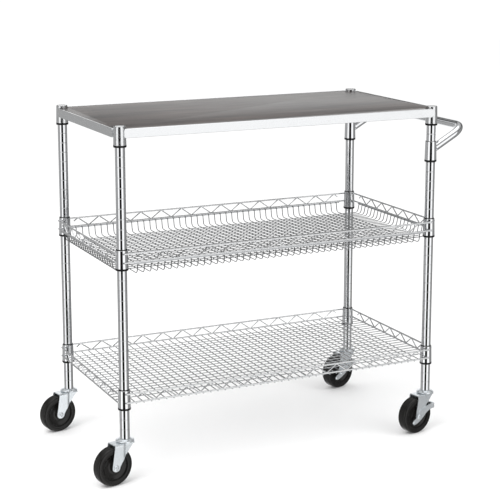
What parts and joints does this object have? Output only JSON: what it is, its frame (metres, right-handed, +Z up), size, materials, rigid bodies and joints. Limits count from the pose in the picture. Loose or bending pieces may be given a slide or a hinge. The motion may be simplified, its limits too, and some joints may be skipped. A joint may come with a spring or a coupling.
{
  "type": "kitchen island cart",
  "caption": "Rolling kitchen island cart with a dark wooden worktop, a wire basket tier, a wire bottom shelf, a push handle at one end and swivel casters.",
  "frame": {"origin": "middle of the floor area under the whole cart, handle and casters included", "axes": "+X along the length towards the push handle, +Y across towards the rear, +Z up"},
  "size_m": [1.0834, 0.493, 0.9],
  "materials": {
    "chrome": "bright chrome plating",
    "zinc": "bright bluish zinc plating",
    "board": "dark brown wood-grain laminate, satin",
    "sleeve": "black moulded plastic",
    "tyre": "black rubber, satin"
  },
  "bodies": {
    "root": {"post_front_left": "chrome", "post_cap_front_left": "chrome", "post_front_right": "chrome", "post_cap_front_right": "chrome", "post_rear_left": "chrome", "post_cap_rear_left": "chrome", "post_rear_right": "chrome", "post_cap_rear_right": "chrome", "sleeve_top_front_left": "sleeve", "sleeve_top_front_right": "sleeve", "sleeve_top_rear_left": "sleeve", "sleeve_top_rear_right": "sleeve", "sleeve_middle_front_left": "sleeve", "sleeve_middle_front_right": "sleeve", "sleeve_middle_rear_left": "sleeve", "sleeve_middle_rear_right": "sleeve", "sleeve_lower_front_left": "sleeve", "sleeve_lower_front_right": "sleeve", "sleeve_lower_rear_left": "sleeve", "sleeve_lower_rear_right": "sleeve", "sleeve_handle_front": "sleeve", "sleeve_handle_rear": "sleeve", "top_rail_front": "chrome", "top_rail_rear": "chrome", "top_rail_left": "chrome", "top_rail_right": "chrome", "top_board": "board", "basket_rail_front": "chrome", "basket_rail_rear": "chrome", "basket_rail_left": "chrome", "basket_rail_right": "chrome", "basket_floor": "chrome", "basket_wall_front": "chrome", "basket_wall_rear": "chrome", "basket_wall_left": "chrome", "basket_wall_right": "chrome", "shelf_rail_front": "chrome", "shelf_rail_rear": "chrome", "shelf_rail_left": "chrome", "shelf_rail_right": "chrome", "shelf_deck": "chrome", "handle": "chrome", "stem_front_left": "zinc", "stem_front_right": "zinc", "stem_rear_left": "zinc", "stem_rear_right": "zinc"},
    "swivel_front_left": {"fork_front_left": "zinc", "axle_front_left": "zinc"},
    "wheel_front_left": {"wheel_front_left": "tyre"},
    "swivel_front_right": {"fork_front_right": "zinc", "axle_front_right": "zinc"},
    "wheel_front_right": {"wheel_front_right": "tyre"},
    "brake_front_right": {"brake_pedal_front_right": "zinc"},
    "swivel_rear_left": {"fork_rear_left": "zinc", "axle_rear_left": "zinc"},
    "wheel_rear_left": {"wheel_rear_left": "tyre"},
    "swivel_rear_right": {"fork_rear_right": "zinc", "axle_rear_right": "zinc"},
    "wheel_rear_right": {"wheel_rear_right": "tyre"},
    "brake_rear_right": {"brake_pedal_rear_right": "zinc"}
  },
  "joints": [
    {"name": "swivel_front_left", "type": "hinge", "parent": "root", "child": "swivel_front_left", "pos_m": [-0.45431, -0.214, 0.107], "axis": [0, 0, 1], "continuous": true},
    {"name": "spin_front_left", "type": "hinge", "parent": "swivel_front_left", "child": "wheel_front_left", "pos_m": [-0.4906, -0.22122, 0.05], "axis": [0.1951, -0.9808, 0], "continuous": true},
    {"name": "swivel_front_right", "type": "hinge", "parent": "root", "child": "swivel_front_right", "pos_m": [0.42569, -0.214, 0.107], "axis": [0, 0, 1], "continuous": true},
    {"name": "spin_front_right", "type": "hinge", "parent": "swivel_front_right", "child": "wheel_front_right", "pos_m": [0.3894, -0.22122, 0.05], "axis": [0.1951, -0.9808, 0], "continuous": true},
    {"name": "brake_front_right", "type": "hinge", "parent": "swivel_front_right", "child": "brake_front_right", "pos_m": [0.3894, -0.22122, 0.05], "axis": [-0.1951, 0.9808, 0], "range_deg": [0, 12]},
    {"name": "swivel_rear_left", "type": "hinge", "parent": "root", "child": "swivel_rear_left", "pos_m": [-0.45431, 0.222, 0.107], "axis": [0, 0, 1], "continuous": true},
    {"name": "spin_rear_left", "type": "hinge", "parent": "swivel_rear_left", "child": "wheel_rear_left", "pos_m": [-0.4906, 0.21478, 0.05], "axis": [0.1951, -0.9808, 0], "continuous": true},
    {"name": "swivel_rear_right", "type": "hinge", "parent": "root", "child": "swivel_rear_right", "pos_m": [0.42569, 0.222, 0.107], "axis": [0, 0, 1], "continuous": true},
    {"name": "spin_rear_right", "type": "hinge", "parent": "swivel_rear_right", "child": "wheel_rear_right", "pos_m": [0.3894, 0.21478, 0.05], "axis": [0.1951, -0.9808, 0], "continuous": true},
    {"name": "brake_rear_right", "type": "hinge", "parent": "swivel_rear_right", "child": "brake_rear_right", "pos_m": [0.3894, 0.21478, 0.05], "axis": [-0.1951, 0.9808, 0], "range_deg": [0, 12]}
  ]
}
